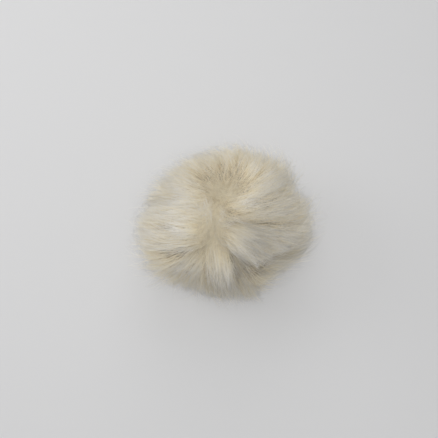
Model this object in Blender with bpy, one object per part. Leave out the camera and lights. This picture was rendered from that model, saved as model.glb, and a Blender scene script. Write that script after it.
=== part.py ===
"""A long-haired fur pom pom that rests on a level surface, crown up.

The fur parts along a short line near the crown, beside a shallow bowl, and is combed away from both on
every side. The pom pom is one solid: a ball of packed fur with a small flat spot underneath, and locks
that are fused into the ball at their roots and stand apart at their tips. Under the ball the locks are
shorter and lie along the surface. Units are metres, +Z is up, and the origin is on the surface, under
the middle of the pom pom. Every direction is measured from the heart of the ball.
"""

import math

import bmesh
import bpy
import numpy as np
from mathutils import Vector, noise

# Overall sizes.
WIDTH = 0.107
DEPTH = 0.095
HEIGHT = 0.081
HEART_Z = 0.037
SINK = 0.010  # how far the weight presses the ball into the surface

# The outline seen from above, as a share of the plain oval of WIDTH by DEPTH.
OUTLINE = (
    # azimuth in degrees, share
    (0, 0.99),
    (12, 0.975),
    (22, 0.86),
    (32, 0.945),
    (42, 1.01),
    (52, 1.00),
    (60, 0.95),
    (80, 0.955),
    (98, 0.875),
    (110, 0.90),
    (126, 0.905),
    (140, 0.89),
    (150, 0.915),
    (160, 0.93),
    (171, 0.91),
    (183, 1.00),
    (195, 1.045),
    (206, 1.095),
    (214, 1.095),
    (222, 1.085),
    (232, 1.005),
    (242, 0.93),
    (250, 0.955),
    (258, 0.99),
    (277, 0.99),
    (287, 1.045),
    (295, 1.03),
    (305, 0.955),
    (317, 0.87),
    (327, 0.935),
    (335, 0.97),
    (345, 1.005),
)

# The parting and the bowl beside its back end, in plan.
PARTING_BACK = (-0.003, 0.0165)
PARTING_FRONT = (-0.0115, -0.0210)
PARTING_DEPTH = 0.09  # as a share of the reach
PARTING_SPREAD = math.radians(20)
BOWL_CENTRE = (-0.0010, 0.0165)
BOWL_SPREAD = math.radians(14)
BOWL_DEPTH = 0.17

# The shelf low on the right of the front, where the upper locks stop short over a groove.
SHELF_AZIMUTH = math.radians(-45)
SHELF_SPREAD = math.radians(30)
SHELF_TOP = math.radians(59)  # measured down from the crown
SHELF_SLOPE = 0.30
SHELF_TOP_EASE = math.radians(3)
SHELF_GROOVE = math.radians(8)
SHELF_BOTTOM_EASE = math.radians(10)
SHELF_DEPTH = 0.20
SHELF_TURN = math.radians(62)  # how far the locks under the groove are combed along it
BARE_BOWL = 1.1  # no lock is rooted nearer to the bowl's middle, as a share of its spread
BARE_GROOVE = 0.5  # no lock is rooted deeper in the groove than this share
BARE_PARTING = math.radians(4.5)  # no lock is rooted nearer to the parting

# Creases between groups of locks, in plan.
CREASES = (
    # start x, start y, middle x, middle y, end x, end y, half width, depth as a share of the reach
    (0.004, -0.009, 0.029, -0.008, 0.0475, -0.001, 0.0035, 0.11),
    (0.004, -0.009, 0.0125, -0.0035, 0.0295, 0.012, 0.0030, 0.08),
    (-0.0015, -0.0260, 0.0090, -0.0345, 0.0110, -0.0455, 0.0040, 0.22),
    (-0.015, -0.026, -0.0255, -0.0265, -0.0355, -0.0255, 0.0030, 0.10),
)

# How far a lock is combed over, by how far its root lies from the parting, in degrees.
COMB = (
    # from the parting, combed over
    (0, 22),
    (10, 33),
    (25, 40),
    (50, 36),
    (75, 28),
    (95, 19),
    (115, 7),
    (135, -3),
    (150, -12),
    (170, -20),
)

# How far the combing turns left of straight away from the parting, in degrees.
TURN = (
    # azimuth about the middle of the parting, turn
    (-72, -4),
    (-60, -26),
    (-42, -24),
    (-30, -10),
    (-18, 6),
    (-6, 34),
    (12, 50),
    (45, 44),
    (75, 42),
    (100, 5),
    (120, -22),
    (145, -12),
    (165, 4),
    (185, 3),
    (208, 0),
    (225, -8),
    (250, 3),
    (275, 5),
)

# The ball of packed fur, as shares of the reach.
BALL_SHARE = 0.85
ROOT_SHARE = 0.70
BALL_PARTING_DEPTH = 0.03
BALL_PARTING_SPREAD = math.radians(13)
BALL_BOWL_FILL = 0.08  # the short fur that stands in the bowl
LUMP_SHARE = 0.02
LUMP_SIZE = 0.6
FLAT_SPOT_RADIUS = 0.012
FLAT_SPOT_EASE = 0.09
FINE_BEYOND = 0.7  # how near to the crown or the flat spot the ball has smaller faces

# The locks.
LOCK_COUNT = 218  # spread over the whole ball, before those in the bowl and on the flat spot are left out
LOCK_WIDTH = 0.0095
LOCK_THICKNESS = 0.0036
TIP_SHARES = (0.97, 1.05)
LOCK_ROWS = (0.0, 0.30, 0.58, 0.82)
LOCK_SIDES = 3
LOCK_RISE = 1.45  # above 1, a lock rises fast at its root and lies level at its tip
LOCK_BEND = 1.35
PARTING_CLOSE = math.radians(5)  # how far the roots beside the parting close up over it
PARTING_CLOSE_SPREAD = math.radians(24)
LOCK_LOWEST = (0.00005, 0.0006)  # how near to the surface the lowest locks lie
SEED = 11

# Locks that lie over or beside the others, each with its own combing.
SINGLE_LOCKS = (
    # azimuth, from the crown, combed over, turn (all in degrees), width, tip share
    (-113, 31, 42, 24, 0.009, 1.01),
    (-104, 31, 49, 25, 0.010, 1.03),
    (-93, 35, 41, 22, 0.009, 1.02),
    (-128, 29, 30, -64, 0.008, 1.02),
    (-144, 21, 38, -34, 0.009, 1.01),
    (-173, 16, 37, -5, 0.009, 1.01),
    (167, 17, 37, 14, 0.009, 1.01),
    (147, 23, 35, 20, 0.009, 1.00),
    (-117, 45, 34, -27, 0.009, 1.00),
    (-97, 16, 49, 79, 0.009, 1.02),
    (-99, 22, 35, 66, 0.008, 1.02),
    (-94, 27, 23, 52, 0.008, 1.03),
    (-55, 15, 50, 58, 0.009, 1.02),
    (-69, 68, 28, 79, 0.008, 1.02),
    (-60, 80, 34, 91, 0.008, 1.03),
    (57, 29, 22, -2, 0.009, 1.01),
)

FUR_COLOUR = (0.66, 0.60, 0.46, 1.0)
FUR_ROUGHNESS = 0.85


def unit(vectors):
    return vectors / np.linalg.norm(vectors, axis=-1, keepdims=True)


def turned(vectors, axes, angles):
    """Vectors turned about unit axes, by angles in radians."""
    cos, sin = np.cos(angles)[..., None], np.sin(angles)[..., None]
    along = (vectors * axes).sum(-1, keepdims=True)
    return vectors * cos + np.cross(axes, vectors) * sin + axes * along * (1 - cos)


def ease(values, start, end):
    """A smooth step from 0 at the start to 1 at the end."""
    t = np.clip((values - start) / (end - start), 0, 1)
    return t * t * (3 - 2 * t)


def hump(values, spread):
    return np.exp(-((values / spread) ** 2))


def angle_between(directions, other):
    return np.arccos(np.clip((directions * other).sum(-1), -1, 1))


def egg(directions):
    """The distance from the heart to the plain egg shape through the lock tips."""
    half_height = np.where(directions[..., 2] < 0, HEART_Z + SINK, HEIGHT - HEART_Z)
    sides = np.full_like(half_height, WIDTH / 2), np.full_like(half_height, DEPTH / 2)
    azimuth = np.degrees(np.arctan2(directions[..., 1], directions[..., 0]))
    table = np.array(OUTLINE)
    outline = np.interp(azimuth, table[:, 0], table[:, 1], period=360)
    level = 1 - directions[..., 2] ** 2
    round_egg = 1 / np.linalg.norm(directions / np.stack([*sides, half_height], -1), axis=-1)
    return round_egg * (1 - level * (1 - outline))


def crown_direction(plan):
    """The direction of the point of the crown that lies above a point of the plan."""
    x, y = plan
    height = (HEIGHT - HEART_Z) * math.sqrt(1 - (2 * x / WIDTH) ** 2 - (2 * y / DEPTH) ** 2)
    return unit(np.array([x, y, height]))


def from_parting(directions):
    """The angle from the nearest point of the parting, and the unit tangent that leads away from it."""
    back, front = crown_direction(PARTING_BACK), crown_direction(PARTING_FRONT)
    line = front - back
    share = np.clip(((directions - back) @ line) / (line @ line), 0, 1)[..., None]
    nearest = unit(back + share * line)
    cos = (directions * nearest).sum(-1, keepdims=True)
    return angle_between(directions, nearest), unit(cos * directions - nearest)


def from_crease(plan, crease):
    """The distance from the nearest point of a crease, and the unit vector that leads away from it."""
    corners = np.array(crease[:6]).reshape(3, 2)
    offsets = []
    for start, end in zip(corners[:-1], corners[1:]):
        line = end - start
        share = np.clip(((plan - start) @ line) / (line @ line), 0, 1)[..., None]
        offsets.append(plan - start - share * line)
    first_is_nearer = np.linalg.norm(offsets[0], axis=-1) < np.linalg.norm(offsets[1], axis=-1)
    offset = np.where(first_is_nearer[..., None], offsets[0], offsets[1])
    distance = np.linalg.norm(offset, axis=-1)
    return distance, offset / np.maximum(distance, 1e-9)[..., None]


def from_shelf(directions):
    """How fully each direction lies in the span of the shelf, and its angle below the shelf's edge."""
    azimuth = np.arctan2(directions[..., 1], directions[..., 0]) - SHELF_AZIMUTH
    fall = np.arccos(np.clip(directions[..., 2], -1, 1))
    across = 1 - ease(np.abs(azimuth), 0.6 * SHELF_SPREAD, 1.2 * SHELF_SPREAD)
    return across, fall - SHELF_TOP - SHELF_SLOPE * np.clip(azimuth, -0.6, 0.6)


def in_groove(directions):
    """How fully each direction lies in the groove under the shelf."""
    across, below = from_shelf(directions)
    above_bottom = 1 - ease(below, SHELF_GROOVE, SHELF_GROOVE + SHELF_BOTTOM_EASE)
    return across * ease(below, 0, SHELF_TOP_EASE) * above_bottom


def reach(directions):
    """The distance from the heart to the lock tips, but for the creases between them."""
    distance = egg(directions)
    distance = distance * (1 - PARTING_DEPTH * hump(from_parting(directions)[0], PARTING_SPREAD))
    from_bowl = angle_between(directions, crown_direction(BOWL_CENTRE))
    distance = distance * (1 - BOWL_DEPTH * hump(from_bowl, BOWL_SPREAD))
    distance = distance * (1 - SHELF_DEPTH * in_groove(directions))
    down = np.maximum(-directions[..., 2], 1e-6)
    return np.minimum(distance, HEART_Z / down)


def creased(directions):
    """The share of the reach that the creases leave."""
    plan = (directions * egg(directions)[..., None])[..., :2]
    upper = ease(directions[..., 2], 0.0, 0.3)
    share = np.ones(directions.shape[:-1])
    for crease in CREASES:
        share = share * (1 - upper * crease[7] * hump(from_crease(plan, crease)[0], crease[6]))
    return share


def spread_directions(count):
    """Directions spread evenly over the whole ball, from the crown down."""
    golden_turn = math.pi * (3 - math.sqrt(5))
    index = np.arange(count)
    z = 1 - (2 * index + 1) / count
    ring = np.sqrt(1 - z * z)
    return np.stack([ring * np.cos(index * golden_turn), ring * np.sin(index * golden_turn), z], -1)


def lock_points(root, away, comb_angle, width, tip_share, lowest):
    """The points of one lock: a spike with a ridge along its top, bent over as it is combed."""
    rows = np.array(LOCK_ROWS + (1.0,))
    axis = np.cross(root, away)
    repeat = (len(rows), 1)
    directions = turned(np.tile(root, repeat), np.tile(axis, repeat), comb_angle * rows**LOCK_BEND)
    shares = ROOT_SHARE + (tip_share - ROOT_SHARE) * (1 - (1 - rows) ** LOCK_RISE)
    line = directions * (reach(directions) * creased(directions) * shares)[:, None]
    along = unit(np.gradient(line, axis=0))
    side = unit(np.cross(along, directions))
    up = np.cross(side, along)
    swell = (0.75 + 0.9 * rows) * (1 - rows**2.6)
    points = []
    for row in range(len(LOCK_ROWS)):
        across = side[row] * width / 2 * swell[row]
        rise = up[row] * LOCK_THICKNESS / 2 * swell[row]
        ring = np.array([line[row] + across - rise, line[row] + rise, line[row] - across - rise])
        ring[:, 2] += HEART_Z
        ring[:, 2] += max(0.0, lowest - ring[:, 2].min())
        points.extend(ring)
    tip = line[-1] + (0, 0, HEART_Z)
    tip[2] = max(tip[2], lowest)
    points.append(tip)
    return points


def lock_faces(first):
    """The faces of one lock whose points start at an index."""
    faces = [tuple(first + side for side in reversed(range(LOCK_SIDES)))]
    for row in range(len(LOCK_ROWS) - 1):
        for side in range(LOCK_SIDES):
            a = first + row * LOCK_SIDES + side
            b = first + row * LOCK_SIDES + (side + 1) % LOCK_SIDES
            faces.append((a, b, b + LOCK_SIDES, a + LOCK_SIDES))
    last = first + (len(LOCK_ROWS) - 1) * LOCK_SIDES
    for side in range(LOCK_SIDES):
        faces.append((last + side, last + (side + 1) % LOCK_SIDES, last + LOCK_SIDES))
    return faces


def combing(roots):
    """The unit tangent along which each root's lock is combed, and the angle it is combed over by."""
    angle, away = from_parting(roots)
    table = np.radians(np.array(COMB))
    comb = np.interp(angle, table[:, 0], table[:, 1])
    table = np.array(TURN)
    offset = roots - unit(crown_direction(PARTING_BACK) + crown_direction(PARTING_FRONT))
    azimuth = np.degrees(np.arctan2(offset[:, 1], offset[:, 0]))
    turn = np.radians(np.interp(azimuth, table[:, 0], table[:, 1], period=360))
    fall = np.arccos(np.clip(roots[:, 2], -1, 1))
    turn = turn * ease(angle, 0, math.radians(25)) * (1 - ease(fall, math.radians(95), math.radians(130)))
    across, below = from_shelf(roots)
    upper = ease(-below, 0, math.radians(10))
    comb = comb - across * upper * np.maximum(0, comb + below)
    lower = (1 - upper) * (1 - ease(fall, math.radians(122), math.radians(140)))
    turn = turn + SHELF_TURN * across * lower
    bowl = hump(angle_between(roots, crown_direction(BOWL_CENTRE)), BOWL_SPREAD)
    return turned(away, roots, turn), comb * (1 - 0.9 * bowl)


def clear_of_creases(roots, width):
    """Roots moved sideways until the middles of their locks leave the creases open."""
    away, comb = combing(roots)
    for crease in CREASES:
        middles = turned(roots, np.cross(roots, away), comb * 0.5)
        plan = (middles * egg(middles)[:, None])[:, :2]
        distance, outward = from_crease(plan, crease)
        shift = np.maximum(0, width - distance) * (roots[:, 2] > -0.1)
        step = np.zeros_like(roots)
        step[:, :2] = outward * (shift / egg(roots))[:, None]
        roots = unit(roots + step)
    return roots


def build_locks():
    rng = np.random.default_rng(SEED)
    roots = spread_directions(LOCK_COUNT)
    roots = unit(roots + rng.normal(0, 0.03, roots.shape))
    flat_edge = -math.cos(math.atan(FLAT_SPOT_RADIUS / HEART_Z))
    from_bowl = angle_between(roots, crown_direction(BOWL_CENTRE))
    bare = (roots[:, 2] < flat_edge) | (from_bowl < BOWL_SPREAD * BARE_BOWL)
    bare = bare | (in_groove(roots) > BARE_GROOVE) | (from_parting(roots)[0] < BARE_PARTING)
    roots = clear_of_creases(roots[~bare], LOCK_WIDTH * 0.45)
    away, comb = combing(roots)
    nearer = PARTING_CLOSE * hump(from_parting(roots)[0], PARTING_CLOSE_SPREAD)
    axes = np.cross(roots, away)
    roots, away = turned(roots, axes, -nearer), turned(away, axes, -nearer)
    comb = comb * (1 + rng.normal(0, 0.06, len(comb)))
    away = turned(away, roots, rng.normal(0, 0.09, len(comb)))
    widths = LOCK_WIDTH * (1 + rng.uniform(-0.2, 0.2, len(comb)))
    tips = rng.uniform(*TIP_SHARES, len(comb))
    locks = list(zip(roots, away, comb, widths, tips))
    for azimuth, fall, combed, turn, width, tip in SINGLE_LOCKS:
        a, b = math.radians(azimuth), math.radians(fall)
        root = np.array([math.sin(b) * math.cos(a), math.sin(b) * math.sin(a), math.cos(b)])
        down = np.array([math.cos(b) * math.cos(a), math.cos(b) * math.sin(a), -math.sin(b)])
        locks.append((root, turned(down, root, np.radians(turn)), math.radians(combed), width, tip))
    points, faces = [], []
    for lock in locks:
        faces += lock_faces(len(points))
        points += lock_points(*lock, rng.uniform(*LOCK_LOWEST))
    mesh = bpy.data.meshes.new("locks")
    mesh.from_pydata([tuple(point) for point in points], [], faces)
    return add_object("locks", mesh)


def build_ball():
    bm = bmesh.new()
    bmesh.ops.create_icosphere(bm, subdivisions=3, radius=1)
    fine = [edge for edge in bm.edges if min(abs(vert.co.z) for vert in edge.verts) > FINE_BEYOND]
    bmesh.ops.subdivide_edges(bm, edges=fine, cuts=1, use_grid_fill=True)
    bmesh.ops.triangulate(bm, faces=bm.faces)
    directions = unit(np.array([vert.co for vert in bm.verts]))
    uneven = np.array([noise.noise(Vector(direction) / LUMP_SIZE) for direction in directions])
    groove = BALL_PARTING_DEPTH * hump(from_parting(directions)[0], BALL_PARTING_SPREAD)
    fill = BALL_BOWL_FILL * hump(angle_between(directions, crown_direction(BOWL_CENTRE)), BOWL_SPREAD)
    radius = reach(directions) * (BALL_SHARE - groove + fill + LUMP_SHARE * uneven)
    down = -directions[:, 2]
    flat_edge = math.cos(math.atan(FLAT_SPOT_RADIUS / HEART_Z))
    flat = ease(down, flat_edge - FLAT_SPOT_EASE, flat_edge)
    radius = radius * (1 - flat) + flat * HEART_Z / np.maximum(down, flat_edge - FLAT_SPOT_EASE)
    for vert, direction, distance in zip(bm.verts, directions, radius):
        vert.co = Vector(direction * distance) + Vector((0, 0, HEART_Z))
    mesh = bpy.data.meshes.new("fur_ball")
    bm.to_mesh(mesh)
    bm.free()
    return add_object("fur_ball", mesh)


def outer_skin(mesh):
    """A mesh without the pockets that overlapping locks close off inside it."""
    bm = bmesh.new()
    bm.from_mesh(mesh)
    unseen = set(bm.verts)
    shells = []
    while unseen:
        front = [unseen.pop()]
        shell = set(front)
        while front:
            neighbours = {edge.other_vert(vert) for vert in front for edge in vert.link_edges} & unseen
            unseen -= neighbours
            shell |= neighbours
            front = list(neighbours)
        shells.append(shell)
    skin = max(shells, key=len)
    bmesh.ops.delete(bm, geom=[vert for vert in bm.verts if vert not in skin], context="VERTS")
    bm.to_mesh(mesh)
    bm.free()


def centre(mesh):
    """Moves a mesh in plan until the middle of its bounding box is over the origin."""
    points = np.array([vert.co for vert in mesh.vertices])
    x, y, _ = (points.min(0) + points.max(0)) / 2
    for vert in mesh.vertices:
        vert.co -= Vector((x, y, 0))


def fur_material():
    material = bpy.data.materials.new("fur")
    material.use_nodes = True
    shader = material.node_tree.nodes["Principled BSDF"]
    shader.inputs["Base Color"].default_value = FUR_COLOUR
    shader.inputs["Roughness"].default_value = FUR_ROUGHNESS
    return material


def add_object(name, mesh):
    obj = bpy.data.objects.new(name, mesh)
    bpy.context.scene.collection.objects.link(obj)
    return obj


def main():
    for obj in list(bpy.data.objects):
        bpy.data.objects.remove(obj)
    ball = build_ball()
    locks = build_locks()
    locks.hide_render = True
    locks.display_type = "WIRE"
    join = ball.modifiers.new("fuse locks", "BOOLEAN")
    join.operation = "UNION"
    join.solver = "EXACT"
    join.use_self = True
    join.object = locks
    fused = bpy.data.meshes.new_from_object(ball.evaluated_get(bpy.context.evaluated_depsgraph_get()))
    ball.modifiers.clear()
    ball.data = fused
    outer_skin(fused)
    centre(fused)
    fused.materials.clear()
    fused.materials.append(fur_material())


main()
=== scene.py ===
"""The looks of a long-haired fur pom pom: undercoat, long fur in locks and wisps, stray hairs and a stage.

Every direction is measured from the heart of the ball. A lock is a bundle of wisps that are combed together,
and a wisp is a few fibres that cling together towards their tips.
"""

import math

import bpy
import numpy as np
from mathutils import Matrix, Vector, noise


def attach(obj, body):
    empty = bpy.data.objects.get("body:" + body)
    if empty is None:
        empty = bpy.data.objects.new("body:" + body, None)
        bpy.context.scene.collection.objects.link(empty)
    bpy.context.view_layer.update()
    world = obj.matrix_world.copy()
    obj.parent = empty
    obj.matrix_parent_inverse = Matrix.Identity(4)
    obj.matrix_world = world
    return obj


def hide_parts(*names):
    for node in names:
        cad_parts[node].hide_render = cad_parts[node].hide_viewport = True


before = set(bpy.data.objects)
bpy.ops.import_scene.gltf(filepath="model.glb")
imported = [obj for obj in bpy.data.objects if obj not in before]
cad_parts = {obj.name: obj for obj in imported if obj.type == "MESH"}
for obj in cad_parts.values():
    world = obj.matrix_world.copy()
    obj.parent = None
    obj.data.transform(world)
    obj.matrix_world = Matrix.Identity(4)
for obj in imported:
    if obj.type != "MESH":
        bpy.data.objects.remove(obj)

bl_info = {
    "name": "Fur Pom Pom",
    "version": (1, 0, 0),
    "blender": (4, 5, 0),
    "location": "View3D > Sidebar > Pom Pom",
    "description": "Builds the pelt, the long fur and the stage of a fur pom pom",
    "category": "Object",
}

NODE = "fur_ball"
BODY = "root"

# The overall form, in metres. It is that of the solid that the fur stands for, but for the single locks,
# the combing at the lower left and the creases: two on the right are shallower than the solid's creases and
# end up to 11 mm away from them.
WIDTH = 0.107
DEPTH = 0.095
HEIGHT = 0.081
HEART = (0.00175, 0.00093, 0.037)
SINK = 0.010

OUTLINE = (
    # azimuth in degrees, share of the plain oval
    (0, 0.99),
    (12, 0.975),
    (22, 0.86),
    (32, 0.945),
    (42, 1.01),
    (52, 1.00),
    (60, 0.95),
    (80, 0.955),
    (98, 0.875),
    (110, 0.90),
    (126, 0.905),
    (140, 0.89),
    (150, 0.915),
    (160, 0.93),
    (171, 0.91),
    (183, 1.00),
    (195, 1.045),
    (206, 1.095),
    (214, 1.095),
    (222, 1.085),
    (232, 1.005),
    (242, 0.93),
    (250, 0.955),
    (258, 0.99),
    (277, 0.99),
    (287, 1.045),
    (295, 1.03),
    (305, 0.955),
    (317, 0.87),
    (327, 0.935),
    (335, 0.97),
    (345, 1.005),
)

PARTING_BACK = (-0.003, 0.0165)
PARTING_FRONT = (-0.0115, -0.0210)
PARTING_DEPTH = 0.09  # as a share of the reach, like the other depths
PARTING_SPREAD = math.radians(20)
PARTING_CLOSE = math.radians(5)  # how far the roots beside the parting close up over it
PARTING_CLOSE_SPREAD = math.radians(24)
PARTING_STRIP = math.radians(6)  # the strip of short fur along the parting
PARTING_STRIP_COMB = math.radians(14)
PARTING_STRIP_FULLNESS = 0.9

# The bowl is the hollow on the crown, where the fur is short and stands up.
BOWL_CENTRE = (-0.0010, 0.0165)
BOWL_SPREAD = math.radians(14)
BOWL_DEPTH = 0.17
BOWL_STANDING = (0.7, 1.4)  # where the standing fur begins to thin and where it ends, as shares of the spread
BOWL_UNCOMBED = 0.9  # the share of the combing that is lost in the middle of the bowl
BOWL_STAYS_OPEN = 1.3  # how far out the parting doesn't close up, as a share of the spread

# The shelf is the row of locks at the lower right that hangs over a groove.
SHELF_AZIMUTH = math.radians(-45)
SHELF_SPREAD = math.radians(30)
SHELF_ENDS = (0.6, 1.2)  # where it begins to fade out sideways and where it ends, as shares of the spread
SHELF_TOP = math.radians(59)
SHELF_SLOPE = 0.30
SHELF_SLOPE_SPAN = 0.6  # how far to each side its top edge slopes, in radians
SHELF_TOP_EASE = math.radians(3)
SHELF_GROOVE = math.radians(8)
SHELF_BOTTOM_EASE = math.radians(10)
SHELF_DEPTH = 0.20
SHELF_TURN = math.radians(62)  # how far the fur below the shelf turns aside
SHELF_TURN_ENDS = (math.radians(122), math.radians(140))
SHELF_COMB_EASE = math.radians(10)
SHELF_LIP = 0.07
SHELF_LIP_WIDTH = math.radians(8)
SHELF_APART = math.radians(25)  # how near to the shelf's edge wisps don't gather into locks

CREASES = (
    # start x, start y, middle x, middle y, end x, end y, half width,
    # depth as a share of the reach, share left bare
    (0.0065, -0.0120, 0.027, -0.0103, 0.0400, -0.0072, 0.0035, 0.07, 0.65),
    (0.0075, -0.0115, 0.0195, -0.0056, 0.0300, 0.0006, 0.0025, 0.03, 0.20),
    (0.0010, -0.0285, 0.0090, -0.0345, 0.0110, -0.0455, 0.0040, 0.22, 0.80),
    (-0.015, -0.026, -0.0255, -0.0265, -0.0355, -0.0255, 0.0030, 0.10, 0.35),
)

CREASE_BARE = 0.6  # how wide the bare strip in a crease is, as a share of its width
CREASE_FULL = 0.3  # how far up a direction points where the creases have their full depth
CREASE_LEAST_OPEN = 0.3  # how far roots are moved off a crease of which nothing is left bare
CREASE_LOWEST = -0.1  # how far down a direction points where roots are no longer moved

COMB = (
    # degrees from the parting, degrees combed over
    (0, 22),
    (10, 33),
    (25, 40),
    (50, 36),
    (75, 28),
    (95, 19),
    (115, 7),
    (135, -3),
    (150, -12),
    (170, -20),
)

TURN = (
    # azimuth about the middle of the parting, degrees turned left of straight away from the parting
    (-72, -4),
    (-60, -26),
    (-42, -24),
    (-30, -10),
    (-18, 6),
    (-6, 34),
    (12, 50),
    (45, 44),
    (75, 42),
    (100, 5),
    (120, -22),
    (145, -12),
    (165, 4),
    (185, 3),
    (208, -6),
    (222, -20),
    (236, -8),
    (250, 3),
    (275, 5),
)

TURN_FULL = math.radians(25)  # how far from the parting the fur turns fully
TURN_ENDS = (math.radians(95), math.radians(130))  # where the turn fades out towards the underside

SINGLE_LOCKS = (
    # azimuth, from the crown, combed over, turn (all in degrees), tip share, tint
    (-113, 31, 42, 24, 1.02, 0.10),
    (-108, 30, 49, 27, 1.05, 0.25),
    (-100, 31, 49, 23, 1.05, 0.25),
    (-93, 35, 41, 22, 1.03, 0.05),
    (-128, 29, 30, -64, 1.04, 0.25),
    (-123, 39, 28, -54, 1.03, 0.20),
    (-144, 21, 38, -34, 1.02, 0.15),
    (-173, 16, 37, -5, 1.03, 0.20),
    (167, 17, 37, 14, 1.02, 0.05),
    (147, 23, 35, 20, 1.01, 0.10),
    # These two locks below the left crease have darker tints as painted shade.
    (-117, 45, 34, -27, 1.01, -0.30),
    (-114, 47, 30, -8, 1.01, -0.30),
    (-93, 14, 47, 80, 1.03, 0.15),
    (-101, 17, 51, 78, 1.02, 0.10),
    (-99, 22, 35, 66, 1.03, 0.15),
    (-94, 27, 23, 52, 1.05, 0.20),
    (-55, 13, 48, 62, 1.02, 0.05),
    (-56, 17, 52, 53, 1.03, 0.15),
    (-69, 71, 28, 79, 1.00, 0.20),
    (-60, 82, 34, 91, 1.00, 0.25),
    (57, 29, 22, -2, 1.02, 0.20),
)

# Painted shade: broad patches where the fur's tint is darker, and one where it is paler as painted light.
PAINTED_SHADE_PATCHES = (
    # azimuth, from the crown, spread (all in degrees), how much darker the tint is there as painted shade;
    # below zero it is paler, as painted light
    (-134, 59, 18, 0.30),
    (-52, 30, 14, 0.32),
    (-100, 78, 32, 0.16),
    (-42, 76, 24, 0.26),
    (-12, 52, 10, -0.30),
)

LAMPS = (
    # name, place in metres, size in metres, power in watts, whether it casts shadows
    ("near_lamp", (0.00, -0.17, 0.85), 0.20, 2.1, True),
    ("overhead_lamp", (-0.10, 0.00, 0.85), 0.22, 0.4, True),
    ("back_window", (0.00, 0.85, 0.85), 0.80, 1.5, True),
    ("back_glow", (0.00, 0.85, 0.85), 0.80, 0.85, False),
    ("side_window", (-0.60, 0.20, 0.50), 0.40, 0.6, True),
    ("corner_fill", (-0.40, 0.40, 0.50), 0.40, 0.75, False),
    ("back_fill", (0.05, 0.70, 0.25), 0.50, 0.6, False),
    ("left_fill", (-0.70, 0.10, 0.20), 0.50, 0.4, False),
    ("right_fill", (0.70, 0.05, 0.20), 0.50, 0.25, False),
)

SEED = 11
LOWEST = 0.0002  # how near to the floor the fur comes, in metres

# The undercoat.
PELT_SHARE = 0.81  # its share of the reach
PELT_FUZZ = 0.012
PELT_FUZZ_FINENESS = 14
PELT_DARKEST = 0.75  # the darkest undercoat, as a share of its colour

# Locks. Lengths are shares of the reach and angles are in radians.
LOCK_COUNT = 218
LOCK_WIDTH = 0.0095  # in metres
LOCK_CLEARANCE = 0.45  # how far locks keep from the creases, as a share of their width
LOCK_SCATTER = 0.03
LOCK_TURN_SCATTER = 0.09
LOCK_TIP_RANGE = (-0.05, 0.02)
LOCK_SHAPE = 0.5  # how far a wisp takes on the combing of its lock
SINGLE_LOCK_SCATTER = 0.05
ROOT_SHARE = 0.76
RISE = 1.45  # above 1, a hair rises fast at its root and lies level at its tip
BEND = 1.35

# Wisps, in the same measures.
LINE_ROWS = 9  # points along the middle of a wisp
WISP_SCATTER = 0.02
WISP_COMB_SCATTER = 0.09
WISP_TURN_SCATTER = 0.11
WISP_STANDING_SCATTER = 0.4
WISP_TIPS = (-0.03, 0.05)  # middle and scatter of the tips, measured from the lock's
WISP_LONGEST_TIP = 0.08
UNDERSIDE = (0.4, 0.8)  # how far down a direction points where the fur begins to thin and is thinnest
UNDERSIDE_THINNING = 0.7
HALFWAY = 0.5
NEAR_TIP = 0.85
TIP_BARENESS = 0.8  # how far a wisp is left out whose tip lies in a groove or crease
MOST_LEFT_OUT = 0.95
CLING_RANGE = (0.4, 1.6)
CLING_POWER = 1.5

# Fibres.
FIBRE_ROWS = 4  # rings along a fibre, before its tip
FIBRE_SIDES = 3
FIBRE_TAPER = 0.65
FIBRE_SHORTENING = 0.38
FIBRE_SHORTENING_POWER = 1.6
WISP_FLATNESS = 0.8  # the height of a wisp as a share of its width
FRIZZ_POWER = 1.3
FRIZZ_WAVES = (0.4, 1.1)  # how many waves a fibre has
MAP_EDGE = 0.01
MAP_FIBRE_WIDTH = 0.006

# Short crown fur.
CROWN_SCATTER = 0.4
CROWN_TRIES = 8  # roots tried for each one that is kept
CROWN_TURN_SCATTER = 0.5
CROWN_COMB_SCATTER = math.radians(9)
CROWN_TIPS = (0.86, 1.0)
CROWN_FRIZZ = 1.5
CROWN_PALEST = 0.62  # how far along the colours of a long fibre its tip comes

# Stray hairs.
STRAY_LOWEST = -0.6
STRAY_COMB = (0.6, 1.3)
STRAY_TURN_SCATTER = 0.35
STRAY_TIPS = (0.98, 1.18)
STRAY_FRIZZ = 2
STRAY_THICKNESS = 0.7

# Tints, from 0, the darkest, to 1.
TINT_LIMITS = (0.01, 0.99)
FUR_TINT = 0.74
CROWN_TINT = 0.62
CROWN_STRIP_PALER = 0.08
STRAY_TINT = 0.7
SHORT_TINT_SCATTER = 0.12
LOCK_TINT_SCATTER = 0.06
SINGLE_LOCK_TINT = 0.5  # how strongly the tints of single locks count
WISP_TINT_SCATTER = 0.06
FIBRE_TINT_SCATTER = 0.04
PALER_TINTS = 0.3  # how far the palest tint lies above the plain colour, as a share of the tint range
# Painted shade: the tints of wisps in the creases, under the shelf and along a line right under its edge are
# made darker, where shade falls.
CREASE_SHADE = 0.65
SHELF_SHADE = 0.45
SHELF_SHADE_ENDS = (2 * SHELF_GROOVE, 4 * SHELF_GROOVE)
SHELF_SHADE_FADE = 0.75
SHELF_LINE = 1.5 * SHELF_TOP_EASE  # the painted shadow line right under the shelf's edge
SHELF_LINE_SHADE = 0.4

FLOOR_SIZE = 6
FLOOR_UNEVENNESS = 0.99

REGIONS = (
    # name, least and most degrees from the crown, least and most azimuth in degrees
    ("fur_crown", 0, 48, -180, 180),
    ("fur_right", 48, 122, -45, 45),
    ("fur_back", 48, 122, 45, 135),
    ("fur_front", 48, 122, -135, -45),
    ("fur_left", 48, 122, 135, 225),
    ("fur_underside", 122, 180, -180, 180),
)


def unit(vectors):
    return vectors / np.linalg.norm(vectors, axis=-1, keepdims=True)


def tangent(roots, vectors):
    """The unit tangents at the roots that point most nearly along the vectors."""
    return unit(vectors - roots * (vectors * roots).sum(-1, keepdims=True))


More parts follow.
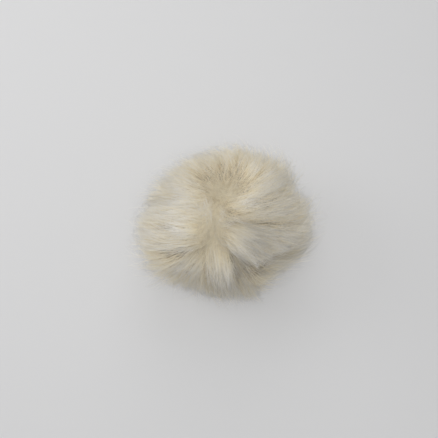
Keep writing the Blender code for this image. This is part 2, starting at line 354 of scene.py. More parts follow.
def turned(vectors, axes, angles):
    """Vectors turned about unit axes, by angles in radians."""
    cos, sin = np.cos(angles)[..., None], np.sin(angles)[..., None]
    along = (vectors * axes).sum(-1, keepdims=True)
    return vectors * cos + np.cross(axes, vectors) * sin + axes * along * (1 - cos)


def ease(values, start, end):
    """A smooth step from 0 at the start to 1 at the end."""
    t = np.clip((values - start) / (end - start), 0, 1)
    return t * t * (3 - 2 * t)


def hump(values, spread):
    return np.exp(-((values / spread) ** 2))


def angle_between(directions, other):
    return np.arccos(np.clip((directions * other).sum(-1), -1, 1))


def toward(azimuth, fall):
    """The directions at an azimuth and an angle from the crown."""
    return np.stack([np.sin(fall) * np.cos(azimuth), np.sin(fall) * np.sin(azimuth), np.cos(fall)], -1)


def egg(directions):
    """The distance from the heart to the plain egg shape through the lock tips."""
    upper, lower = HEIGHT - HEART[2], HEART[2] + SINK
    half_height = np.where(directions[..., 2] < 0, lower, upper)
    sides = np.full_like(half_height, WIDTH / 2), np.full_like(half_height, DEPTH / 2)
    azimuth = np.degrees(np.arctan2(directions[..., 1], directions[..., 0]))
    table = np.array(OUTLINE)
    outline = np.interp(azimuth, table[:, 0], table[:, 1], period=360)
    level = 1 - directions[..., 2] ** 2
    round_egg = 1 / np.linalg.norm(directions / np.stack([*sides, half_height], -1), axis=-1)
    return round_egg * (1 - level * (1 - outline))


def crown_direction(plan):
    """The direction of the point of the crown that lies above a point of the plan."""
    x, y = plan
    height = (HEIGHT - HEART[2]) * math.sqrt(1 - (2 * x / WIDTH) ** 2 - (2 * y / DEPTH) ** 2)
    return unit(np.array([x, y, height]))


def from_parting(directions):
    """The angle from the nearest point of the parting, and the unit tangent that leads away from it."""
    back, front = crown_direction(PARTING_BACK), crown_direction(PARTING_FRONT)
    line = front - back
    share = np.clip(((directions - back) @ line) / (line @ line), 0, 1)[..., None]
    nearest = unit(back + share * line)
    cos = (directions * nearest).sum(-1, keepdims=True)
    return angle_between(directions, nearest), unit(cos * directions - nearest)


def from_crease(plan, crease):
    """The distance from the nearest point of a crease, and the unit vector that leads away from it."""
    corners = np.array(crease[:6]).reshape(3, 2)
    offsets = []
    for start, end in zip(corners[:-1], corners[1:]):
        line = end - start
        share = np.clip(((plan - start) @ line) / (line @ line), 0, 1)[..., None]
        offsets.append(plan - start - share * line)
    first_is_nearer = np.linalg.norm(offsets[0], axis=-1) < np.linalg.norm(offsets[1], axis=-1)
    offset = np.where(first_is_nearer[..., None], offsets[0], offsets[1])
    distance = np.linalg.norm(offset, axis=-1)
    return distance, offset / np.maximum(distance, 1e-9)[..., None]


def from_shelf(directions):
    """How fully each direction lies in the span of the shelf, and its angle below the shelf's top edge."""
    azimuth = np.arctan2(directions[..., 1], directions[..., 0]) - SHELF_AZIMUTH
    fall = np.arccos(np.clip(directions[..., 2], -1, 1))
    start, end = SHELF_ENDS
    across = 1 - ease(np.abs(azimuth), start * SHELF_SPREAD, end * SHELF_SPREAD)
    slope = SHELF_SLOPE * np.clip(azimuth, -SHELF_SLOPE_SPAN, SHELF_SLOPE_SPAN)
    return across, fall - SHELF_TOP - slope


def in_groove(directions):
    """How fully each direction lies in the groove under the shelf."""
    across, below = from_shelf(directions)
    past = ease(below, SHELF_GROOVE, SHELF_GROOVE + SHELF_BOTTOM_EASE)
    return across * ease(below, 0, SHELF_TOP_EASE) * (1 - past)


def reach(directions):
    """The distance from the heart to the lock tips, but for the creases between them."""
    distance = egg(directions)
    distance = distance * (1 - PARTING_DEPTH * hump(from_parting(directions)[0], PARTING_SPREAD))
    from_bowl = angle_between(directions, crown_direction(BOWL_CENTRE))
    distance = distance * (1 - BOWL_DEPTH * hump(from_bowl, BOWL_SPREAD))
    distance = distance * (1 - SHELF_DEPTH * in_groove(directions))
    down = np.maximum(-directions[..., 2], 1e-6)
    return np.minimum(distance, HEART[2] / down)


def creased(directions):
    """The share of the reach that the creases leave."""
    plan = (directions * egg(directions)[..., None])[..., :2]
    upper = ease(directions[..., 2], 0.0, CREASE_FULL)
    share = np.ones(directions.shape[:-1])
    for crease in CREASES:
        share = share * (1 - upper * crease[7] * hump(from_crease(plan, crease)[0], crease[6]))
    return share


def in_creases(directions):
    """How bare of fur each direction is left by the creases."""
    plan = (directions * egg(directions)[..., None])[..., :2]
    upper = ease(directions[..., 2], 0.0, CREASE_FULL)
    shares = []
    for crease in CREASES:
        shares.append(crease[8] * hump(from_crease(plan, crease)[0], CREASE_BARE * crease[6]))
    return upper * np.max(shares, axis=0)


def spread_directions(count):
    """Directions spread evenly over the whole ball, from the crown down."""
    golden_turn = math.pi * (3 - math.sqrt(5))
    index = np.arange(count)
    z = 1 - (2 * index + 1) / count
    ring = np.sqrt(1 - z * z)
    return np.stack([ring * np.cos(index * golden_turn), ring * np.sin(index * golden_turn), z], -1)


def in_bowl(directions):
    """Where the fur stands up and is short: 1 in the bowl, 0 away from it."""
    from_bowl = angle_between(directions, crown_direction(BOWL_CENTRE))
    start, end = BOWL_STANDING
    return 1 - ease(from_bowl, start * BOWL_SPREAD, end * BOWL_SPREAD)


def combing(roots):
    """The unit tangent along which the fur at each root is combed, and the angle it is combed over by."""
    angle, away = from_parting(roots)
    table = np.radians(np.array(COMB))
    comb = np.interp(angle, table[:, 0], table[:, 1])
    table = np.array(TURN)
    middle = unit(crown_direction(PARTING_BACK) + crown_direction(PARTING_FRONT))
    offset = roots - middle
    azimuth = np.degrees(np.arctan2(offset[:, 1], offset[:, 0]))
    turn = np.radians(np.interp(azimuth, table[:, 0], table[:, 1], period=360))
    fall = np.arccos(np.clip(roots[:, 2], -1, 1))
    turn = turn * ease(angle, 0, TURN_FULL) * (1 - ease(fall, *TURN_ENDS))
    across, below = from_shelf(roots)
    upper = ease(-below, 0, SHELF_COMB_EASE)
    comb = comb - across * upper * np.maximum(0, comb + below)
    lower = (1 - upper) * (1 - ease(fall, *SHELF_TURN_ENDS))
    turn = turn + SHELF_TURN * across * lower
    bowl = hump(angle_between(roots, crown_direction(BOWL_CENTRE)), BOWL_SPREAD)
    return turned(away, roots, turn), comb * (1 - BOWL_UNCOMBED * bowl)


def clear_of_creases(roots, width):
    """Roots moved sideways until the middles of their hairs leave the creases open."""
    away, comb = combing(roots)
    for crease in CREASES:
        middles = turned(roots, np.cross(roots, away), comb * HALFWAY)
        plan = (middles * egg(middles)[:, None])[:, :2]
        distance, outward = from_crease(plan, crease)
        open_to = width * (CREASE_LEAST_OPEN + crease[8])
        shift = np.maximum(0, open_to - distance) * (roots[:, 2] > CREASE_LOWEST)
        step = np.zeros_like(roots)
        step[:, :2] = outward * (shift / egg(roots))[:, None]
        roots = unit(roots + step)
    return roots


def closed_over_parting(roots):
    """Roots beside the parting, closed up over it, and how they are combed."""
    away, comb = combing(roots)
    nearer = PARTING_CLOSE * hump(from_parting(roots)[0], PARTING_CLOSE_SPREAD)
    from_bowl = angle_between(roots, crown_direction(BOWL_CENTRE))
    nearer = nearer * (1 - hump(from_bowl, BOWL_SPREAD * BOWL_STAYS_OPEN))
    axes = np.cross(roots, away)
    return turned(roots, axes, -nearer), turned(away, axes, -nearer), comb


def hair_lines(roots, away, comb, tips):
    """Points from root to tip along the middle of each lock or wisp."""
    rows = np.linspace(0, 1, LINE_ROWS)
    axes = np.cross(roots, away)[:, None]
    directions = turned(roots[:, None] + 0 * rows[:, None], axes, comb[:, None] * rows**BEND)
    shares = ROOT_SHARE + (tips[:, None] - ROOT_SHARE) * (1 - (1 - rows) ** RISE)
    return directions * (reach(directions) * creased(directions) * shares)[..., None]


def single_locks():
    """The roots, tangents, combing, tip shares and tints of the locks that have a combing of their own."""
    table = np.array(SINGLE_LOCKS, float)
    azimuth, fall, comb, turn = np.radians(table[:, :4]).T
    roots = toward(azimuth, fall)
    down = np.stack([np.cos(fall) * np.cos(azimuth), np.cos(fall) * np.sin(azimuth), -np.sin(fall)], -1)
    return roots, turned(down, roots, turn), comb, table[:, 4], table[:, 5]


def painted_patch_shade(directions):
    """How much darker the fur's tint is in each direction, as painted shade from the patches; below zero it
    is paler, as painted light.
    """
    patch_darkness = np.zeros(len(directions))
    for azimuth, fall, spread, amount in PAINTED_SHADE_PATCHES:
        patch = toward(math.radians(azimuth), math.radians(fall))
        patch_darkness = patch_darkness + amount * hump(angle_between(directions, patch), math.radians(spread))
    return patch_darkness


def all_locks(rng):
    """The roots, tangents, combing and tip shares of the locks all over the ball, then of the single ones."""
    roots = spread_directions(LOCK_COUNT)
    roots = unit(roots + rng.normal(0, LOCK_SCATTER, roots.shape))
    roots = clear_of_creases(roots, LOCK_WIDTH * LOCK_CLEARANCE)
    roots, away, comb = closed_over_parting(roots)
    tips = 1 + rng.uniform(*LOCK_TIP_RANGE, LOCK_COUNT)
    away = turned(away, roots, rng.normal(0, LOCK_TURN_SCATTER, LOCK_COUNT))
    return [np.concatenate(pair) for pair in zip((roots, away, comb, tips), single_locks())]


def wisp_starts(rng, settings, lock_roots, lock_away, lock_comb):
    """The roots, tangents and combing of the wisps, and the lock that each belongs to."""
    roots = spread_directions(settings.wisp_count)
    roots = unit(roots + rng.normal(0, WISP_SCATTER, roots.shape))
    under = ease(-roots[:, 2], *UNDERSIDE)
    roots = roots[rng.random(len(roots)) > UNDERSIDE_THINNING * under]
    roots = clear_of_creases(roots, settings.crease_width)
    lock = np.argmax(roots @ lock_roots[:LOCK_COUNT].T, axis=1)
    roots, away, comb = closed_over_parting(roots)
    single = np.repeat(np.arange(LOCK_COUNT, len(lock_roots)), settings.wisps_per_single_lock)
    single_roots = unit(lock_roots[single] + rng.normal(0, SINGLE_LOCK_SCATTER, (len(single), 3)))
    roots = np.concatenate([roots, single_roots])
    away = tangent(roots, np.concatenate([away, lock_away[single]]))
    comb = np.concatenate([comb, lock_comb[single]])
    return roots, away, comb, np.concatenate([lock, single])


def left_out(roots, away, comb):
    """How likely each wisp is to be left out, to keep the groove and the creases open."""
    axes = np.cross(roots, away)
    middles = turned(roots, axes, comb * HALFWAY)
    ends = turned(roots, axes, comb * NEAR_TIP)
    grooves = [in_groove(roots), in_groove(middles), TIP_BARENESS * in_groove(ends)]
    creases = [in_creases(middles), TIP_BARENESS * in_creases(ends)]
    return np.minimum(np.max(grooves + creases, axis=0), MOST_LEFT_OUT)


def wisps(rng, settings):
    """The middle lines of all wisps, their roots, and the lock that each belongs to."""
    lock_roots, lock_away, lock_comb, lock_tips = all_locks(rng)
    lock_lines = hair_lines(lock_roots, lock_away, lock_comb, lock_tips)
    roots, away, comb, lock = wisp_starts(rng, settings, lock_roots, lock_away, lock_comb)
    standing = in_bowl(roots)
    kept = rng.random(len(roots)) > np.maximum(standing, left_out(roots, away, comb))
    roots, away, comb, lock, standing = (part[kept] for part in (roots, away, comb, lock, standing))
    count = len(roots)
    across, below = from_shelf(roots)
    apart = np.maximum(standing, across * hump(below, SHELF_APART))
    together = LOCK_SHAPE * (1 - apart)
    away = away * (1 - together)[:, None] + lock_away[lock] * together[:, None]
    away = tangent(roots, away)
    comb = comb * (1 - together) + lock_comb[lock] * together
    comb = comb * (1 + rng.normal(0, WISP_COMB_SCATTER, count))
    turn = rng.normal(0, WISP_TURN_SCATTER, count)
    away = turned(away, roots, turn + standing * rng.normal(0, WISP_STANDING_SCATTER, count))
    tips = lock_tips[lock] + np.minimum(rng.normal(*WISP_TIPS, count), WISP_LONGEST_TIP)
    across, below = from_shelf(turned(roots, np.cross(roots, away), comb))
    lip = hump(below, SHELF_LIP_WIDTH) - hump(below - 2 * SHELF_LIP_WIDTH, SHELF_LIP_WIDTH)
    lines = hair_lines(roots, away, comb, tips + SHELF_LIP * (across * lip))
    rows = np.linspace(0, 1, LINE_ROWS)[:, None]
    cling = settings.lock_cling * rng.uniform(*CLING_RANGE, count) * (1 - apart)
    lines = lines + (lock_lines[lock] - lines) * cling[:, None, None] * rows**CLING_POWER
    return lines, roots, lock


def darkness(directions):
    """How much darker the fur's tint is, as painted shade in the creases, under the shelf, along a line right
    under its edge and in the painted shade patches.
    """
    across, below = from_shelf(directions)
    fading = 1 - SHELF_SHADE_FADE * ease(below, *SHELF_SHADE_ENDS)
    shaded = across * ease(below, 0, SHELF_TOP_EASE) * fading
    line = across * hump(below - SHELF_LINE, SHELF_LINE)
    dark = CREASE_SHADE * in_creases(directions) + SHELF_SHADE * shaded + SHELF_LINE_SHADE * line
    return dark + painted_patch_shade(directions)


def fibres(rng, lines, per_wisp, spread, tip_spread, frizz):
    """Points along each fibre and the sideways and upward tangents there."""
    owner = np.repeat(np.arange(len(lines)), per_wisp)
    count = len(owner)
    u = np.linspace(0, 1, FIBRE_ROWS + 1)
    length = 1 - FIBRE_SHORTENING * rng.random(count) ** FIBRE_SHORTENING_POWER
    at = u * length[:, None] * (LINE_ROWS - 1)
    row = np.minimum(at.astype(int), LINE_ROWS - 2)
    part = (at - row)[..., None]
    points = lines[owner[:, None], row] * (1 - part) + lines[owner[:, None], row + 1] * part
    along = unit(np.gradient(points, axis=1))
    side = unit(np.cross(along, points))
    up = np.cross(side, along)
    wide = spread + (tip_spread - spread) * u
    place = np.sqrt(rng.random(count)) * np.exp(2j * math.pi * rng.random(count))
    wave = np.sin(2 * math.pi * (rng.random((count, 1)) + rng.uniform(*FRIZZ_WAVES, (count, 1)) * u))
    rise = np.sin(2 * math.pi * (rng.random((count, 1)) + rng.uniform(*FRIZZ_WAVES, (count, 1)) * u))
    stray = u**FRIZZ_POWER
    sideways = place.real[:, None] * wide + frizz * rng.normal(0, 1, (count, 1)) * stray * wave
    upwards = place.imag[:, None] * wide * WISP_FLATNESS
    upwards = upwards + frizz * rng.normal(0, 1, (count, 1)) * stray * rise
    points = points + side * sideways[..., None] + up * upwards[..., None]
    return points, side, up, owner


def fibre_mesh(name, points, side, up, radius, tints, palest=1.0):
    """A mesh of closed tapered fibres. Its map runs from root to tip across, and by tint upwards."""
    count = len(points)
    u = np.linspace(0, 1, FIBRE_ROWS + 1)
    thick = radius * (1 - FIBRE_TAPER * u[:FIBRE_ROWS])
    corner = np.arange(FIBRE_SIDES)[:, None] * 2 * math.pi / FIBRE_SIDES
    ring = side[:, :FIBRE_ROWS, None] * np.cos(corner) + up[:, :FIBRE_ROWS, None] * np.sin(corner)
    rings = points[:, :FIBRE_ROWS, None] + ring * thick[:, None, None]
    verts = np.concatenate([rings.reshape(count, -1, 3), points[:, -1:]], 1) + HEART
    verts[..., 2] = np.maximum(verts[..., 2], LOWEST)
    faces = [(2, 1, 0)]
    for row in range(FIBRE_ROWS - 1):
        for k in range(FIBRE_SIDES):
            a, b = row * FIBRE_SIDES + k, row * FIBRE_SIDES + (k + 1) % FIBRE_SIDES
            faces += [(a, b, b + FIBRE_SIDES), (a, b + FIBRE_SIDES, a + FIBRE_SIDES)]
    last, tip = (FIBRE_ROWS - 1) * FIBRE_SIDES, FIBRE_ROWS * FIBRE_SIDES
    for k in range(FIBRE_SIDES):
        faces.append((last + k, last + (k + 1) % FIBRE_SIDES, tip))
    faces = np.array(faces)
    per_fibre = tip + 1
    corners = (faces.reshape(1, -1) + np.arange(count)[:, None] * per_fibre).ravel()
    along = np.append(np.repeat(u[:FIBRE_ROWS], FIBRE_SIDES), 1.0)
    around = np.append(np.tile(np.arange(FIBRE_SIDES) - 1.0, FIBRE_ROWS), 0.0)
    map_u = np.tile(MAP_EDGE + (1 - 2 * MAP_EDGE) * palest * along[faces].ravel(), count)
    map_v = tints[:, None] + MAP_FIBRE_WIDTH * around[faces].ravel()
    mesh = bpy.data.meshes.new(name)
    mesh.vertices.add(count * per_fibre)
    mesh.vertices.foreach_set("co", verts.astype(np.float32).ravel())
    mesh.loops.add(len(corners))
    mesh.loops.foreach_set("vertex_index", corners.astype(np.int32))
    mesh.polygons.add(len(corners) // 3)
    mesh.polygons.foreach_set("loop_start", np.arange(0, len(corners), 3, dtype=np.int32))
    mesh.polygons.foreach_set("use_smooth", np.ones(len(corners) // 3, bool))
    mesh.update(calc_edges=True)
    layer = mesh.uv_layers.new(name="OFBake")
    layer.data.foreach_set("uv", np.stack([map_u, map_v.ravel()], -1).astype(np.float32).ravel())
    return mesh


def add_piece(name, mesh, material):
    piece = bpy.data.objects.new(name, mesh)
    bpy.context.scene.collection.objects.link(piece)
    mesh.materials.append(material)
    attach(piece, BODY)
    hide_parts(NODE)
    return piece


def new_material(name):
    material = bpy.data.materials.new(name)
    material.use_nodes = True
    nodes = material.node_tree.nodes
    return material, nodes, material.node_tree.links, nodes["Principled BSDF"]


def fibre_material(settings):
    """Cream fur: tan at the roots, palest at the tips, each wisp a little different, and darker where its
    tint carries painted shade.
    """
    material, nodes, links, shader = new_material("long_fur")
    place = nodes.new("ShaderNodeUVMap")
    place.uv_map = "OFBake"
    apart = nodes.new("ShaderNodeSeparateXYZ")
    links.new(place.outputs["UV"], apart.inputs[0])
    ramp = nodes.new("ShaderNodeValToRGB")
    stops = ramp.color_ramp.elements
    stops[0].position, stops[0].color = 0.10, (*settings.root_colour, 1)
    stops[1].position, stops[1].color = 0.80, (*settings.tip_colour, 1)
    middle = stops.new(0.45)
    middle.color = (*settings.middle_colour, 1)
    links.new(apart.outputs["X"], ramp.inputs["Fac"])
    stretch = nodes.new("ShaderNodeMapping")
    stretch.inputs["Scale"].default_value = (5, 160, 1)
    links.new(place.outputs["UV"], stretch.inputs["Vector"])
    mottle = nodes.new("ShaderNodeTexNoise")
    mottle.inputs["Scale"].default_value = 1.0
    mottle.inputs["Detail"].default_value = 2.0
    links.new(stretch.outputs["Vector"], mottle.inputs["Vector"])
    # The tint makes each wisp darker or paler: partly random tone, partly painted shade in the creases, under
    # the shelf and in the shade patches, and painted light in one patch.
    shade = nodes.new("ShaderNodeMapRange")
    shade.inputs["To Min"].default_value = 1 - settings.tint_range
    shade.inputs["To Max"].default_value = 1 + PALER_TINTS * settings.tint_range
    links.new(apart.outputs["Y"], shade.inputs["Value"])
    fleck = nodes.new("ShaderNodeMapRange")
    fleck.inputs["From Min"].default_value = 0.3
    fleck.inputs["From Max"].default_value = 0.7
    fleck.inputs["To Min"].default_value = 0.93
    fleck.inputs["To Max"].default_value = 1.04
    links.new(mottle.outputs["Fac"], fleck.inputs["Value"])
    both = nodes.new("ShaderNodeMath")
    both.operation = "MULTIPLY"
    links.new(shade.outputs["Result"], both.inputs[0])
    links.new(fleck.outputs["Result"], both.inputs[1])
    tinted = nodes.new("ShaderNodeVectorMath")
    tinted.operation = "SCALE"
    links.new(ramp.outputs["Color"], tinted.inputs[0])
    links.new(both.outputs["Value"], tinted.inputs["Scale"])
    links.new(tinted.outputs["Vector"], shader.inputs["Base Color"])
    shader.inputs["Roughness"].default_value = 0.62
    shader.inputs["Specular IOR Level"].default_value = 0.3
    shader.inputs["Sheen Weight"].default_value = 0.15
    shader.inputs["Sheen Roughness"].default_value = 0.5
    return material


def pelt_material(settings):
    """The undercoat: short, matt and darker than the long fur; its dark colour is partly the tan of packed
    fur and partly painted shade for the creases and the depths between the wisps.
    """
    material, nodes, links, shader = new_material("undercoat")
    place = nodes.new("ShaderNodeTexCoord")
    fine = nodes.new("ShaderNodeTexNoise")
    fine.inputs["Scale"].default_value = 900.0
    fine.inputs["Detail"].default_value = 4.0
    links.new(place.outputs["Object"], fine.inputs["Vector"])
    ramp = nodes.new("ShaderNodeValToRGB")
    stops = ramp.color_ramp.elements
    dark = [channel * PELT_DARKEST for channel in settings.pelt_colour]
    stops[0].position, stops[0].color = 0.3, (*dark, 1)
    stops[1].position, stops[1].color = 0.7, (*settings.pelt_colour, 1)
    links.new(fine.outputs["Fac"], ramp.inputs["Fac"])
    links.new(ramp.outputs["Color"], shader.inputs["Base Color"])
    bump = nodes.new("ShaderNodeBump")
    bump.inputs["Strength"].default_value = 0.8
    bump.inputs["Distance"].default_value = 0.0005
    links.new(fine.outputs["Fac"], bump.inputs["Height"])
    links.new(bump.outputs["Normal"], shader.inputs["Normal"])
    shader.inputs["Roughness"].default_value = 0.9
    return material


class PomPomFurSettings(bpy.types.PropertyGroup):
    """Sizes of the fur."""

    wisp_count: bpy.props.IntProperty(
        name="Wisps", description="Wisps over the whole ball, before some are left out", default=5000
    )
    fibres_per_wisp: bpy.props.IntProperty(name="Fibres", description="Fibres in each wisp", default=8)
    wisps_per_single_lock: bpy.props.IntProperty(
        name="Wisps in a single lock", description="Wisps in each lock with its own combing", default=11
    )
    crown_count: bpy.props.IntProperty(
        name="Crown hairs", description="Short hairs on the crown", default=6800
    )
    stray_count: bpy.props.IntProperty(
        name="Stray hairs", description="Hairs that escape the wisps, before some are left out", default=3200
    )
    fibre_radius: bpy.props.FloatProperty(
        name="Fibre radius",
        description="Radius of a fibre at its root",
        default=0.00011,
        unit="LENGTH",
        precision=6,
    )
    wisp_spread: bpy.props.FloatProperty(
        name="Wisp radius",
        description="Radius of a wisp at its root",
        default=0.0028,
        unit="LENGTH",
        precision=5,
    )
    tip_spread: bpy.props.FloatProperty(
        name="Wisp tip radius",
        description="Radius of a wisp at its tip",
        default=0.0018,
        unit="LENGTH",
        precision=5,
    )
    frizz: bpy.props.FloatProperty(
        name="Frizz",
        description="How far fibres stray from their wisp",
        default=0.0010,
        unit="LENGTH",
        precision=5,
    )
    crease_width: bpy.props.FloatProperty(
        name="Crease width",
        description="Half width kept open at the creases",
        default=0.0035,
        unit="LENGTH",
        precision=4,
    )
    lock_cling: bpy.props.FloatProperty(
        name="Lock cling",
        description="How far wisps draw together at a lock's tip",
        default=0.14,
        subtype="FACTOR",
    )


class PomPomColourSettings(bpy.types.PropertyGroup):
    """Colours of the fur."""

    root_colour: bpy.props.FloatVectorProperty(
        name="Root", description="Fibre colour at the root", default=(0.72, 0.60, 0.42), subtype="COLOR"
    )
    middle_colour: bpy.props.FloatVectorProperty(
        name="Middle", description="Fibre colour halfway", default=(0.94, 0.86, 0.66), subtype="COLOR"
    )
    tip_colour: bpy.props.FloatVectorProperty(
        name="Tip", description="Fibre colour at the tip", default=(0.95, 0.93, 0.88), subtype="COLOR"
    )
    # The undercoat colour is partly the tan of packed fur and partly painted shade for the creases and the
    # depths between the wisps.
    pelt_colour: bpy.props.FloatVectorProperty(
        name="Undercoat",
        description="Colour of the packed undercoat",
        default=(0.44, 0.38, 0.29),
        subtype="COLOR",
    )
    tint_range: bpy.props.FloatProperty(
        name="Tint range",
        description="How much darker the darkest wisps are",
        default=0.32,
        subtype="FACTOR",
    )


class PomPomStageSettings(bpy.types.PropertyGroup):
    """The floor, the light and the camera."""

    floor_colour: bpy.props.FloatVectorProperty(
        name="Floor", description="Colour of the floor", default=(0.68, 0.68, 0.685), subtype="COLOR"
    )
    camera_height_angle: bpy.props.FloatProperty(
        name="Camera elevation",
        description="Angle above the floor",
        default=math.radians(78),
        subtype="ANGLE",
    )
    camera_distance: bpy.props.FloatProperty(
        name="Camera distance", description="Distance to the pom pom", default=0.45, unit="LENGTH"
    )
    lens: bpy.props.FloatProperty(name="Lens", description="Focal length in millimetres", default=62.6)
    aim: bpy.props.FloatVectorProperty(
        name="Aim",
        description="Point the camera looks at",
        default=(-0.00215, 0.00193, 0.037),
        subtype="TRANSLATION",
    )
    lamp_strength: bpy.props.FloatProperty(
        name="Lamps", description="Strength of all the lamps", default=1.0, subtype="FACTOR"
    )
    sky_strength: bpy.props.FloatProperty(
        name="Sky", description="Strength of the light all round", default=0.35
    )


class OBJECT_OT_pom_pom_pelt(bpy.types.Operator):
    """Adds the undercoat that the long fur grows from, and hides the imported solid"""

    bl_idname = "object.pom_pom_pelt"
    bl_label = "Add Undercoat"

    def execute(self, context):
        bpy.ops.mesh.primitive_ico_sphere_add(subdivisions=6, radius=1)
        pelt = context.object
        mesh = pelt.data
        count = len(mesh.vertices)
        co = np.empty(count * 3, np.float32)
        mesh.vertices.foreach_get("co", co)
        directions = unit(co.reshape(-1, 3).astype(float))
        fuzz = np.array([noise.noise(Vector(direction * PELT_FUZZ_FINENESS)) for direction in directions])
        share = (PELT_SHARE + PELT_FUZZ * fuzz) * creased(directions)
        points = directions * (reach(directions) * share)[:, None] + HEART
        points[:, 2] = np.maximum(points[:, 2], LOWEST)
        mesh.vertices.foreach_set("co", points.astype(np.float32).ravel())
        mesh.polygons.foreach_set("use_smooth", np.ones(len(mesh.polygons), bool))
        mesh.update()
        bpy.data.objects.remove(pelt)
        add_piece("undercoat", mesh, pelt_material(context.scene.pom_pom_colours))
        return {"FINISHED"}


class OBJECT_OT_pom_pom_fur(bpy.types.Operator):
    """Adds the long fur, one piece for each side of the ball"""

    bl_idname = "object.pom_pom_fur"
    bl_label = "Add Long Fur"

    def execute(self, context):
        settings = context.scene.pom_pom_fur
        rng = np.random.default_rng(SEED)
        lines, roots, lock = wisps(rng, settings)
        points, side, up, owner = fibres(
            rng, lines, settings.fibres_per_wisp, settings.wisp_spread, settings.tip_spread, settings.frizz
        )
        single_tints = SINGLE_LOCK_TINT * single_locks()[4]
        lock_tints = np.append(rng.normal(0, LOCK_TINT_SCATTER, LOCK_COUNT), single_tints)
        # Wisp tints are darker as painted shade in the creases, under the shelf and in the shade patches, and
        # paler as painted light in one patch.
        wisp_tints = rng.normal(0, WISP_TINT_SCATTER, len(lock)) - darkness(unit(lines[:, LINE_ROWS // 2]))
        fibre_tints = rng.normal(0, FIBRE_TINT_SCATTER, len(owner))
        tints = FUR_TINT + lock_tints[lock[owner]] + wisp_tints[owner] + fibre_tints
        tints = np.clip(tints, *TINT_LIMITS)
        fall = np.degrees(np.arccos(np.clip(roots[:, 2], -1, 1)))
        azimuth = np.degrees(np.arctan2(roots[:, 1], roots[:, 0]))
        material = fibre_material(context.scene.pom_pom_colours)
        for name, least_fall, most_fall, least, most in REGIONS:
            around = (azimuth - least) % 360 < most - least
            inside = ((fall >= least_fall) & (fall < most_fall) & around)[owner]
            shape = points[inside], side[inside], up[inside]
            add_piece(name, fibre_mesh(name, *shape, settings.fibre_radius, tints[inside]), material)
        return {"FINISHED"}


class OBJECT_OT_pom_pom_crown(bpy.types.Operator):
    """Adds the short fur that stands up in the bowl and along the parting"""

    bl_idname = "object.pom_pom_crown"
    bl_label = "Add Crown Fur"

    def execute(self, context):
        settings = context.scene.pom_pom_fur
        rng = np.random.default_rng(SEED + 2)
        middle = unit(crown_direction(PARTING_BACK) + crown_direction(PARTING_FRONT))
        roots = unit(middle + rng.normal(0, CROWN_SCATTER, (settings.crown_count * CROWN_TRIES, 3)))
        beside = PARTING_STRIP_FULLNESS * hump(from_parting(roots)[0], PARTING_STRIP)
        kept = rng.random(len(roots)) < np.maximum(in_bowl(roots), beside)
        roots = roots[kept][: settings.crown_count]
        forwards = crown_direction(PARTING_FRONT) - crown_direction(PARTING_BACK)
        away = unit(forwards - roots * (roots @ forwards)[:, None])
        away = turned(away, roots, rng.normal(0, CROWN_TURN_SCATTER, len(roots)))
        standing = in_bowl(roots)
        comb = PARTING_STRIP_COMB * (1 - standing) + rng.normal(0, CROWN_COMB_SCATTER, len(roots))
        away = turned(away, roots, rng.uniform(-math.pi, math.pi, len(roots)) * standing)
        lines = hair_lines(roots, away, comb, rng.uniform(*CROWN_TIPS, len(roots)))
        spread = settings.tip_spread
        points, side, up, _ = fibres(rng, lines, 1, spread, spread, settings.frizz * CROWN_FRIZZ)
        tints = rng.normal(CROWN_TINT, SHORT_TINT_SCATTER, len(points)) + CROWN_STRIP_PALER * (1 - standing)
        tints = np.clip(tints, *TINT_LIMITS)
        mesh = fibre_mesh("crown_fur", points, side, up, settings.fibre_radius, tints, CROWN_PALEST)
        add_piece("crown_fur", mesh, bpy.data.materials["long_fur"])
        return {"FINISHED"}


class OBJECT_OT_pom_pom_stray(bpy.types.Operator):
    """Adds the stray hairs that escape the wisps"""

    bl_idname = "object.pom_pom_stray"
    bl_label = "Add Stray Hairs"

    def execute(self, context):
        settings = context.scene.pom_pom_fur
        rng = np.random.default_rng(SEED + 1)
        roots = unit(rng.normal(0, 1, (settings.stray_count, 3)))
        roots = roots[roots[:, 2] > STRAY_LOWEST]
        away, comb = combing(roots)
        comb = comb * rng.uniform(*STRAY_COMB, len(comb))
        away = turned(away, roots, rng.normal(0, STRAY_TURN_SCATTER, len(comb)))
        lines = hair_lines(roots, away, comb, rng.uniform(*STRAY_TIPS, len(comb)))
        spread = settings.wisp_spread
        points, side, up, _ = fibres(rng, lines, 1, spread, spread, settings.frizz * STRAY_FRIZZ)
        tints = np.clip(rng.normal(STRAY_TINT, SHORT_TINT_SCATTER, len(points)), *TINT_LIMITS)
        radius = settings.fibre_radius * STRAY_THICKNESS
        mesh = fibre_mesh("stray_hairs", points, side, up, radius, tints)
        add_piece("stray_hairs", mesh, bpy.data.materials["long_fur"])
        return {"FINISHED"}


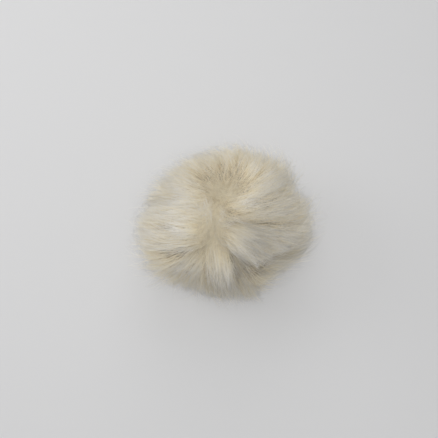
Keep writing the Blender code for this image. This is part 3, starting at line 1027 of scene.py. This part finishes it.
class OBJECT_OT_pom_pom_stage(bpy.types.Operator):
    """Adds the floor, the soft window light and the camera"""

    bl_idname = "object.pom_pom_stage"
    bl_label = "Add Stage"

    def execute(self, context):
        settings = context.scene.pom_pom_stage
        bpy.ops.mesh.primitive_plane_add(size=FLOOR_SIZE)
        floor = context.object
        floor.name = "floor"
        material, nodes, links, shader = new_material("matt_floor")
        shader.inputs["Roughness"].default_value = 0.75
        shader.inputs["Specular IOR Level"].default_value = 0.2
        grain = nodes.new("ShaderNodeTexNoise")
        grain.inputs["Scale"].default_value = 4.0
        ramp = nodes.new("ShaderNodeValToRGB")
        darker = [channel * FLOOR_UNEVENNESS for channel in settings.floor_colour]
        ramp.color_ramp.elements[0].color = (*darker, 1)
        ramp.color_ramp.elements[1].color = (*settings.floor_colour, 1)
        links.new(grain.outputs["Fac"], ramp.inputs["Fac"])
        links.new(ramp.outputs["Color"], shader.inputs["Base Color"])
        floor.data.materials.append(material)

        for name, place, size, power, shadow in LAMPS:
            light = bpy.data.lights.new(name, "AREA")
            light.size = size
            light.energy = power * settings.lamp_strength
            light.use_shadow = shadow
            lamp = bpy.data.objects.new(name, light)
            lamp.location = Vector(place)
            lamp.rotation_mode = "QUATERNION"
            lamp.rotation_quaternion = lamp.location.to_track_quat("Z", "Y")
            context.scene.collection.objects.link(lamp)

        world = bpy.data.worlds.new("soft_room")
        world.use_nodes = True
        world.node_tree.nodes["Background"].inputs["Color"].default_value = (1.0, 1.0, 1.0, 1)
        world.node_tree.nodes["Background"].inputs["Strength"].default_value = settings.sky_strength
        context.scene.world = world
        context.scene.view_settings.view_transform = "Standard"

        camera = bpy.data.objects.new("camera", bpy.data.cameras.new("camera"))
        camera.data.lens = settings.lens
        camera.data.clip_start = 0.01
        back = Vector((0, -math.cos(settings.camera_height_angle), math.sin(settings.camera_height_angle)))
        camera.location = Vector(settings.aim) + back * settings.camera_distance
        camera.rotation_mode = "QUATERNION"
        camera.rotation_quaternion = back.to_track_quat("Z", "Y")
        context.scene.collection.objects.link(camera)
        context.scene.camera = camera
        return {"FINISHED"}


class VIEW3D_PT_pom_pom(bpy.types.Panel):
    """Lists the steps that build the pom pom"""

    bl_idname = "VIEW3D_PT_pom_pom"
    bl_label = "Fur Pom Pom"
    bl_space_type = "VIEW_3D"
    bl_region_type = "UI"
    bl_category = "Pom Pom"

    def draw(self, context):
        layout = self.layout
        for operator in PIECE_OPERATORS:
            layout.operator(operator.bl_idname)
        for group in SETTINGS:
            box = layout.box()
            settings = getattr(context.scene, group)
            for name in settings.bl_rna.properties.keys():
                if name not in ("rna_type", "name"):
                    box.prop(settings, name)


SETTINGS = {
    "pom_pom_fur": PomPomFurSettings,
    "pom_pom_colours": PomPomColourSettings,
    "pom_pom_stage": PomPomStageSettings,
}
PIECE_OPERATORS = (
    OBJECT_OT_pom_pom_pelt,
    OBJECT_OT_pom_pom_fur,
    OBJECT_OT_pom_pom_crown,
    OBJECT_OT_pom_pom_stray,
    OBJECT_OT_pom_pom_stage,
)


def register():
    for group, settings in SETTINGS.items():
        bpy.utils.register_class(settings)
        setattr(bpy.types.Scene, group, bpy.props.PointerProperty(type=settings))
    for operator in PIECE_OPERATORS:
        bpy.utils.register_class(operator)
    bpy.utils.register_class(VIEW3D_PT_pom_pom)


def unregister():
    bpy.utils.unregister_class(VIEW3D_PT_pom_pom)
    for operator in reversed(PIECE_OPERATORS):
        bpy.utils.unregister_class(operator)
    for group, settings in SETTINGS.items():
        delattr(bpy.types.Scene, group)
        bpy.utils.unregister_class(settings)


def main():
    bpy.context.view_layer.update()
    register()
    bpy.ops.object.pom_pom_pelt()
    bpy.ops.object.pom_pom_fur()
    bpy.ops.object.pom_pom_crown()
    bpy.ops.object.pom_pom_stray()
    bpy.ops.object.pom_pom_stage()


if __name__ == "__main__":
    main()
